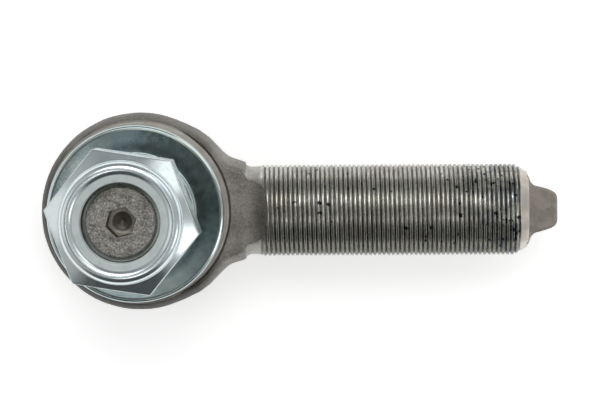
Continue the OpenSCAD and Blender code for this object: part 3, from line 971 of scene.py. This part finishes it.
def resample(pts, step):
    out = [pts[0]]
    for a, b in zip(pts[:-1], pts[1:]):
        a, b = np.array(a), np.array(b)
        k = max(1, int(np.ceil(np.linalg.norm(b - a) / step)))
        out += [tuple(a + (b - a) * j / k) for j in range(1, k + 1)]
    return out


def boot_halves():
    b = 23.9
    # inner and outer wall, each from the lower bead (start) to the middle plane and on to the upper bead
    mid = 17.8
    lower = [(b - 1.30, mid, 0), (b - 1.30, 16.6, 0.5), (b - 1.45, 15.1, 0.6), (22.3, 14.2, 0.4), (21.75, 13.75, 0.2), (21.62, 13.05, 0.1),
             (21.06, 12.9, 0.1), (21.06, 11.2, 0.1), (21.7, 11.1, 0.1), (21.78, 10.78, 0.1), (23.6, 10.75, 0.2), (24.0, 11.1, 0.2),
             (23.62, 11.7, 0.2), (23.5, 12.2, 0.2), (23.6, 12.7, 0.2), (23.95, 13.15, 0.3), (24.05, 13.9, 0.4), (24.0, 15.2, 0.6),
             (b, 16.6, 0.6), (b, mid, 0)]
    upper = [(b, mid, 0), (23.6, 18.6, 0.5), (22.9, 19.4, 0.6), (21.4, 20.4, 1.0), (19.7, 21.0, 1.0), (17.6, 21.4, 0.8), (15.45, 21.7, 0.3),
             (15.15, 22.5, 0.5), (15.35, 23.1, 0.2), (14.95, 23.5, 0.2), (12.72, 23.5, 0.2), (12.68, 20.9, 0.3), (14.0, 20.45, 0.6),
             (16.6, 20.1, 1.0), (19.3, 19.5, 1.0), (21.2, 18.8, 0.8), (22.2, 18.35, 0.4), (b - 1.30, mid, 0)]
    n = 192
    th = np.arange(n) * 2 * math.pi / n
    for name, raw, ba, bb, z0, z1 in (("boot_lower_half", lower, "housing", "boot_middle", 13.4, 17.8),
                                      ("boot_upper_half", upper, "boot_middle", "boot_top", 17.8, 20.2)):
        p = np.array(resample(fillet(raw, 0.3, 5), 0.45))
        R, T = np.meshgrid(p[:, 0], th, indexing="ij")
        H = np.repeat(p[:, 1][:, None], n, 1)
        V = np.stack([R * np.cos(T), R * np.sin(T), H], -1)
        f, _ = grid_faces(len(p), n)
        o = make_mesh(name, V.reshape(-1, 3), f, [M_RUBBER], None, None, 60)
        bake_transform(o)
        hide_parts("boot")


boot_halves()


def wire_ring(name, node, R, z, r, body, gap_deg=5.0, turn=0.0, tail=0.0):
    """A wire ring whose two ends stand side by side."""
    n, m = 220, 14
    u = np.linspace(0, 1, n)
    a = (turn + gap_deg / 2 + u * (360 - gap_deg)) * D2R
    cx, cy = R * np.cos(a), R * np.sin(a)
    ph = np.arange(m) * 2 * math.pi / m
    V = []
    for i in range(n):
        er = np.array([math.cos(a[i]), math.sin(a[i]), 0])
        k = 1.0 if 0 < i < n - 1 else 0.72
        for q in ph:
            V.append(np.array([cx[i], cy[i], z]) + k * r * (math.cos(q) * er + math.sin(q) * np.array([0, 0, 1])))
    f, _ = grid_faces(n, m)
    V = np.array(V)
    c0, c1 = len(V), len(V) + 1
    V = np.vstack([V, [[cx[0], cy[0], z]], [[cx[-1], cy[-1], z]]])
    caps = [(c0, j, (j + 1) % m, -1) for j in range(m)] + [(c1, (n - 1) * m + (j + 1) % m, (n - 1) * m + j, -1) for j in range(m)]
    faces = np.vstack([f, np.array(caps)])
    o = make_mesh(name, V, faces, [M_WIRE], None, body, 60)
    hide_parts(node)


wire_ring("boot_lower_wire", "boot_lower_clamp", 24.12, 12.2, 0.55, "housing", 4.0, 150)
wire_ring("boot_upper_wire", "boot_upper_clamp", 15.75, 22.5, 0.55, "boot_top", 6.0, 200)

bush = fillet([(11.38, 21.4, 0), (11.36, 22.3, 0.2), (12.2, 23.52, 0.1), (12.62, 23.52, 0.1), (12.62, 21.9, 0.1), (12.0, 21.3, 0.1), (11.45, 21.3, 0.05), (11.38, 21.4, 0)], 0.1, 3)
o = lathe("boot_bush_sleeve", bush, [M_BUSH], "boot_top", 128, sharp=50)
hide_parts("boot_bush")

# --------------------------------------------------- bearing set and end cover

for node, mt in (("upper_ball_seat", M_ACETAL), ("lower_ball_seat", M_ACETAL), ("spring_plate", M_SPRING), ("preload_spring", M_SPRING),
                 ("cover_seal_ring", M_RUBBER), ("retaining_ring", M_RING)):
    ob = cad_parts[node]
    ob.data.materials.clear()
    ob.data.materials.append(mt)

cov = fillet([(0.02, -20.6, 0), (8.6, -20.6, 0.8), (11.4, -18.32, 0.8), (25.9, -18.32, 0.2), (25.9, -19.1, 0.1), (24.2, -19.1, 0.1), (24.2, -20.7, 0.1),
              (25.9, -20.7, 0.1), (25.9, -21.4, 0.2), (14.8, -21.4, 1.2), (12.2, -23.1, 1.0), (1.6, -23.1, 0.3), (1.0, -22.5, 0.3), (0.02, -22.3, 0)], 0.2, 5)
o = lathe("end_cover_plate", cov, [M_ZINC_DULL], "housing", 192, sharp=60)
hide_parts("end_cover")

# ------------------------------------------------------------- floor and light

FLOOR_Z = CAD_BOX[0][2] - 0.00005


def build_floor():
    s = 3.0
    me = bpy.data.meshes.new("floor")
    me.from_pydata([(-s, -s, FLOOR_Z), (s, -s, FLOOR_Z), (s, s, FLOOR_Z), (-s, s, FLOOR_Z)], [], [(0, 1, 2, 3)])
    o = bpy.data.objects.new("floor", me)
    scene.collection.objects.link(o)
    m, g, b = new_mat("floor_white")
    p = g.coord()
    g.put(b.inputs["Base Color"], g.mix(g.noise(p, 0.02, 3.0, 0.5), (0.93, 0.93, 0.93), (0.95, 0.95, 0.95)))
    b.inputs["Emission Color"].default_value = (1.0, 1.0, 1.0, 1)
    b.inputs["Emission Strength"].default_value = 0.52
    b.inputs["Roughness"].default_value = 0.95
    b.inputs["Specular IOR Level"].default_value = 0.0
    me.materials.append(m)
    return o


build_floor()


def build_world():
    w = bpy.data.worlds.new("studio")
    w.use_nodes = True
    scene.world = w
    g = G(w.node_tree)
    bg = next(n for n in w.node_tree.nodes if n.type == "BACKGROUND")
    tc = g.node("ShaderNodeTexCoord")
    d = g.vmath("NORMALIZE", tc.outputs["Generated"])

    def lobe(az, pol, r_in, r_out):
        a, p = az * D2R, pol * D2R
        c = (math.sin(p) * math.cos(a), math.sin(p) * math.sin(a), math.cos(p))
        dt = g.vmath("DOT_PRODUCT", d, c)
        return g.ramp(dt, math.cos(r_out * D2R), math.cos(r_in * D2R))

    L = None

    def mixv(f, a, b):
        nd = g.node("ShaderNodeMix", data_type="FLOAT", clamp_factor=True)
        g.put(nd.inputs["Factor"], f)
        g.put(nd.inputs[2], a)
        g.put(nd.inputs[3], b)
        return nd.outputs[0]

    L = BASE_L
    for az, pol, ri, ro, val in LOBES:
        L = mixv(lobe(az, pol, ri, ro), L, val)
    c = g.mix(g.ramp(L, 0.05, 0.55), (0.93, 0.97, 1.0), (1.0, 1.0, 0.985))
    bg.inputs["Strength"].default_value = 1.0
    nd = g.node("ShaderNodeVectorMath", operation="SCALE")
    g.put(nd.inputs[0], c)
    g.put(nd.inputs["Scale"], g.math("MULTIPLY", L, WORLD_GAIN))
    g.l.new(nd.outputs[0], bg.inputs["Color"])


WORLD_GAIN = 1.0
BASE_L = 0.50
# azimuth and polar angle of the centre, inner and outer radius, radiance
LOBES = [
    (90, 74, 20, 44, 0.30),
    (-90, 66, 28, 44, 0.085),     # dark room side
    (-150, 5, 5, 9, 1.35),       # pale ceiling near the view line
    (-150, 18, 6, 9, 0.07),
    (-100, 14, 5, 9, 0.06),
    (90, 27, 10, 19, 3.4),       # soft box
    (142, 13, 6, 11, 0.12),
    (-86, 21, 3, 8, 2.6),
    (-20, 54, 6, 14, 2.4),
    (45, 55, 8, 20, 1.45),
    (175, 54, 8, 26, 1.0),
]
build_world()


# ------------------------------------------------------------------- camera

cam = bpy.data.cameras.new("camera")
cam_o = bpy.data.objects.new("camera", cam)
scene.collection.objects.link(cam_o)
cam.sensor_fit = "HORIZONTAL"
cam.sensor_width = 36.0
cam.lens = 182.6
cam.clip_start = 0.05
cam.clip_end = 5.0
pos = Vector((0.0673, 0.0390, 1.0))
aim = Vector((0.0525, 0.0033, 0.0))
ROLL = -0.33
cam_o.location = pos
fwd = (aim - pos).normalized()
right = fwd.cross(Vector((0, 1, 0))).normalized()
up = right.cross(fwd)
R = Matrix((right, up, -fwd)).transposed() @ Matrix.Rotation(ROLL * D2R, 3, "Z")
cam_o.rotation_euler = R.to_euler()
scene.camera = cam_o
scene.view_settings.view_transform = "Standard"
scene.view_settings.look = "None"
